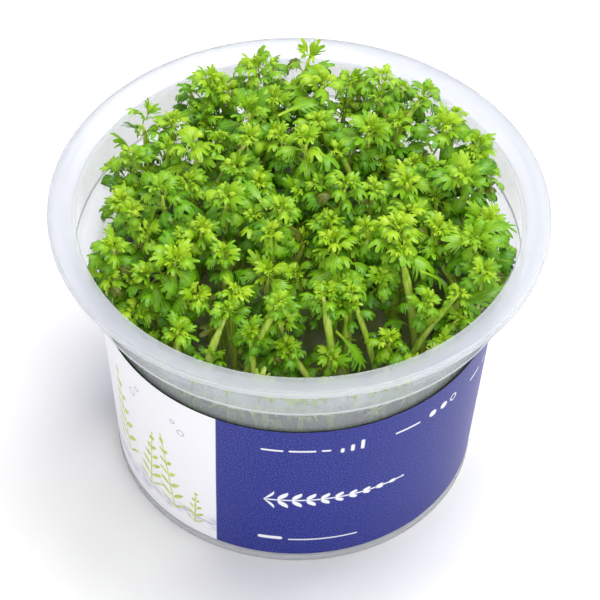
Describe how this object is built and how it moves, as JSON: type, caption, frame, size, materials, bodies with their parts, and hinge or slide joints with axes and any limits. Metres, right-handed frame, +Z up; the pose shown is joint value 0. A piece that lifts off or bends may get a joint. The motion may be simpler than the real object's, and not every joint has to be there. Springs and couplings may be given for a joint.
{
  "type": "featherfoil in a growing cup",
  "caption": "Bushy featherfoil shoots with feathery leaves, rooted in gel in a clear plastic growing cup with a wide rim and a printed sleeve.",
  "frame": {"origin": "middle of the cup's underside, on the surface it stands on", "axes": "+Z up out of the cup, the label's middle faces -Y, +X to the right seen from the front"},
  "size_m": [0.1042, 0.1042, 0.0837],
  "materials": {
    "cup_plastic": "clear, slightly milky",
    "label_card": "printed, satin",
    "gel": "wet, cloudy",
    "stem": "smooth, juicy",
    "leaf": "satin"
  },
  "bodies": {
    "root": {"cup": "cup_plastic", "label": "label_card", "gel": "gel", "stem_01": "stem", "leaves_01": "leaf", "stem_02": "stem", "leaves_02": "leaf", "stem_03": "stem", "leaves_03": "leaf", "stem_04": "stem", "leaves_04": "leaf", "stem_05": "stem", "leaves_05": "leaf", "stem_06": "stem", "leaves_06": "leaf", "stem_07": "stem", "leaves_07": "leaf", "stem_08": "stem", "leaves_08": "leaf", "stem_09": "stem", "leaves_09": "leaf", "stem_10": "stem", "leaves_10": "leaf", "stem_11": "stem", "leaves_11": "leaf", "stem_12": "stem", "leaves_12": "leaf", "stem_13": "stem", "leaves_13": "leaf", "stem_14": "stem", "leaves_14": "leaf", "stem_15": "stem", "leaves_15": "leaf", "stem_16": "stem", "leaves_16": "leaf", "stem_17": "stem", "leaves_17": "leaf", "stem_18": "stem", "leaves_18": "leaf", "stem_19": "stem", "leaves_19": "leaf", "stem_20": "stem", "leaves_20": "leaf", "stem_21": "stem", "leaves_21": "leaf", "stem_22": "stem", "leaves_22": "leaf", "stem_23": "stem", "leaves_23": "leaf", "stem_24": "stem", "leaves_24": "leaf", "stem_25": "stem", "leaves_25": "leaf", "stem_26": "stem", "leaves_26": "leaf", "stem_27": "stem", "leaves_27": "leaf", "stem_28": "stem", "leaves_28": "leaf"}
  },
  "joints": []
}
